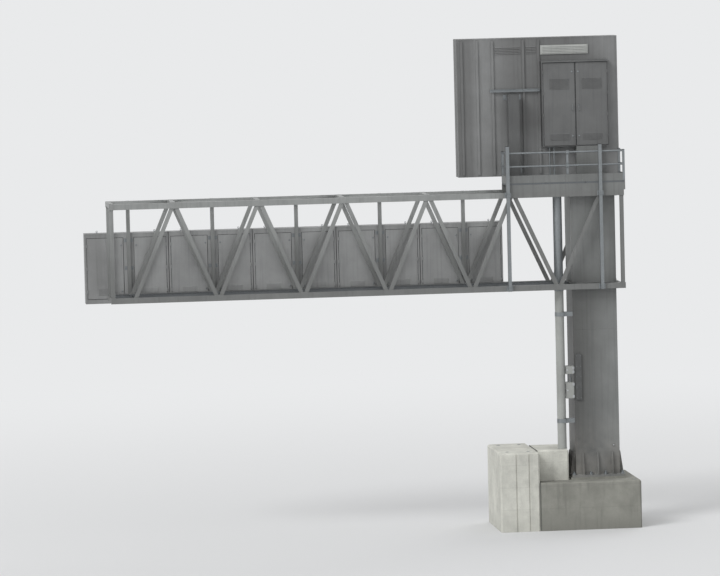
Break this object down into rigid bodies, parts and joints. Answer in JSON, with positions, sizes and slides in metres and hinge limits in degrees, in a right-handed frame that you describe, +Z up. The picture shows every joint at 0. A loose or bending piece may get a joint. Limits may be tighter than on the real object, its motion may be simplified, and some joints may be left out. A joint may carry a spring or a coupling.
{
  "type": "overhead sign gantry",
  "caption": "Cantilever road sign gantry: a lattice boom with a long message sign on one box mast, a tall sign over the mast and a concrete plinth.",
  "frame": {"origin": "on the mast's axis at the underside of the concrete plinth", "axes": "+Z up, the boom reaches along -X over the road, the sign faces look along +Y"},
  "size_m": [14.711, 2.71, 13.24],
  "materials": {
    "concrete": "weathered cast concrete",
    "pale_concrete": "pale cast concrete",
    "mast_paint": "satin dark grey paint",
    "boom_paint": "satin mid grey paint",
    "sign_case": "satin powder coat",
    "display": "matt black louvred panel",
    "galvanised": "dull hot-dip galvanised",
    "riser_coating": "pale grey coating"
  },
  "bodies": {
    "root": {"plinth": "concrete", "grout_bed": "concrete", "impact_block": "pale_concrete", "upstand": "pale_concrete", "base_plate": "mast_paint", "mast_gussets": "mast_paint", "mast": "mast_paint", "mast_cap": "mast_paint", "root_brackets": "mast_paint", "head_column": "mast_paint", "near_top_chord": "boom_paint", "near_bottom_chord": "boom_paint", "far_top_chord": "boom_paint", "far_bottom_chord": "boom_paint", "near_diagonals": "boom_paint", "far_diagonals": "boom_paint", "end_posts": "boom_paint", "top_cross_beams": "boom_paint", "bottom_cross_beams": "boom_paint", "top_plan_bracing": "boom_paint", "bottom_plan_bracing": "boom_paint", "sign_hangers": "boom_paint", "platform_bearers": "boom_paint", "boom_sign_cases": "sign_case", "boom_sign_trim": "sign_case", "upper_sign_case": "sign_case", "upper_sign_trim": "sign_case", "upper_sign_ribs": "sign_case", "rear_housing": "sign_case", "housing_doors": "sign_case", "side_post_and_foot": "sign_case", "boom_sign_displays": "display", "upper_sign_display": "display", "anchor_bolts": "galvanised", "boom_walkway": "galvanised", "side_post_cleats": "galvanised", "platform_deck": "galvanised", "tall_posts": "galvanised", "short_posts": "galvanised", "guard_rails": "galvanised", "toe_boards": "galvanised", "riser_brackets": "galvanised", "riser_pipe": "riser_coating", "riser_boxes": "riser_coating", "vent_plate": "riser_coating"}
  },
  "joints": []
}
